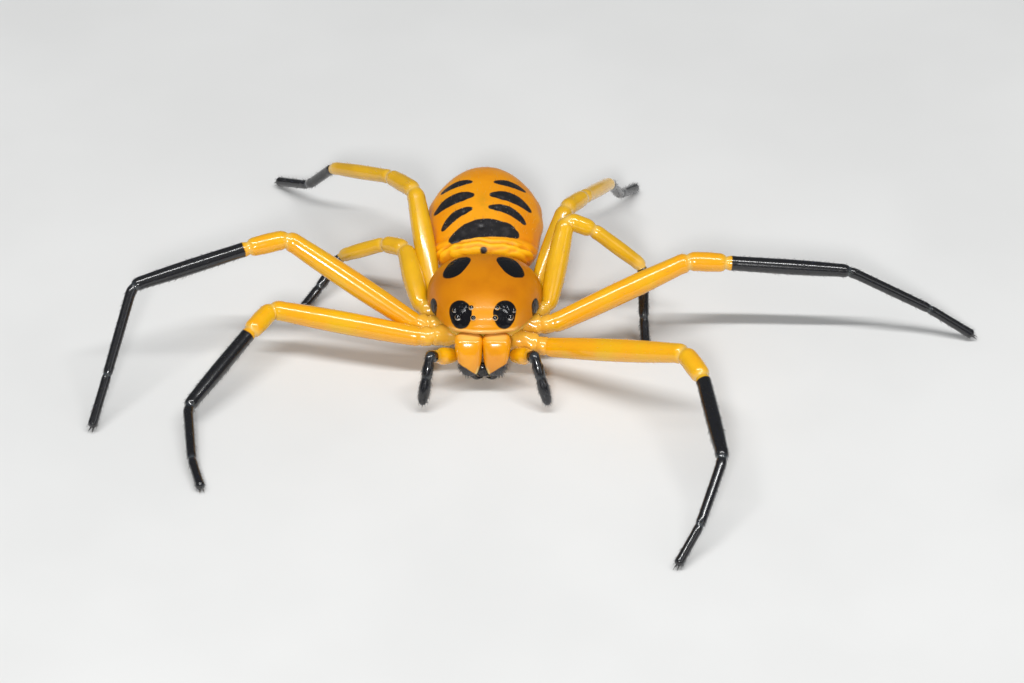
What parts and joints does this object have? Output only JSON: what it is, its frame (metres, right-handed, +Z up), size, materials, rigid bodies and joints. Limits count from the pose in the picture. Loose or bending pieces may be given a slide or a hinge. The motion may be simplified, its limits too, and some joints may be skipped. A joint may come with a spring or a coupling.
{
  "type": "crab spider",
  "caption": "Still model of a crab spider standing flat with its long front legs spread, an orange body marked with black spots, yellow thighs and black shins.",
  "frame": {"origin": "middle of the outline's box at floor level, under the spider's body", "axes": "+Z up, the spider faces -Y, its own left side is +X"},
  "size_m": [0.049, 0.0356, 0.0069],
  "materials": {
    "shield": "smooth semi-gloss orange horn with a soft shine",
    "abdomen_skin": "soft satin orange skin, finely wrinkled at the front and sides",
    "yellow_skin": "glossy, slightly see-through yellow skin",
    "amber_leg": "glossy orange yellow leg skin",
    "black_leg": "glossy black horn with short bristles",
    "eye_bead": "polished black bead"
  },
  "bodies": {
    "root": {"carapace": "shield", "sternum": "yellow_skin", "abdomen": "abdomen_skin", "spinnerets": "abdomen_skin", "chelicera_l": "shield", "fang_l": "black_leg", "palp_base_l": "yellow_skin", "palp_tip_l": "black_leg", "eye_ame_l": "eye_bead", "eye_ale_l": "eye_bead", "eye_pme_l": "eye_bead", "eye_ple_l": "eye_bead", "chelicera_r": "shield", "fang_r": "black_leg", "palp_base_r": "yellow_skin", "palp_tip_r": "black_leg", "eye_ame_r": "eye_bead", "eye_ale_r": "eye_bead", "eye_pme_r": "eye_bead", "eye_ple_r": "eye_bead", "l1_femur": "amber_leg", "l1_patella": "amber_leg", "l1_tibia": "black_leg", "l1_metatarsus": "black_leg", "l1_tarsus": "black_leg", "r1_femur": "amber_leg", "r1_patella": "amber_leg", "r1_tibia": "black_leg", "r1_metatarsus": "black_leg", "r1_tarsus": "black_leg", "l2_femur": "amber_leg", "l2_patella": "amber_leg", "l2_tibia": "black_leg", "l2_metatarsus": "black_leg", "l2_tarsus": "black_leg", "r2_femur": "amber_leg", "r2_patella": "amber_leg", "r2_tibia": "black_leg", "r2_metatarsus": "black_leg", "r2_tarsus": "black_leg", "l3_femur": "amber_leg", "l3_patella": "amber_leg", "l3_tibia": "amber_leg", "l3_metatarsus": "black_leg", "l3_tarsus": "black_leg", "r3_femur": "amber_leg", "r3_patella": "amber_leg", "r3_tibia": "amber_leg", "r3_metatarsus": "black_leg", "r3_tarsus": "black_leg", "l4_femur": "amber_leg", "l4_patella": "amber_leg", "l4_tibia": "amber_leg", "l4_metatarsus": "black_leg", "l4_tarsus": "black_leg", "r4_femur": "amber_leg", "r4_patella": "amber_leg", "r4_tibia": "amber_leg", "r4_metatarsus": "black_leg", "r4_tarsus": "black_leg"}
  },
  "joints": []
}
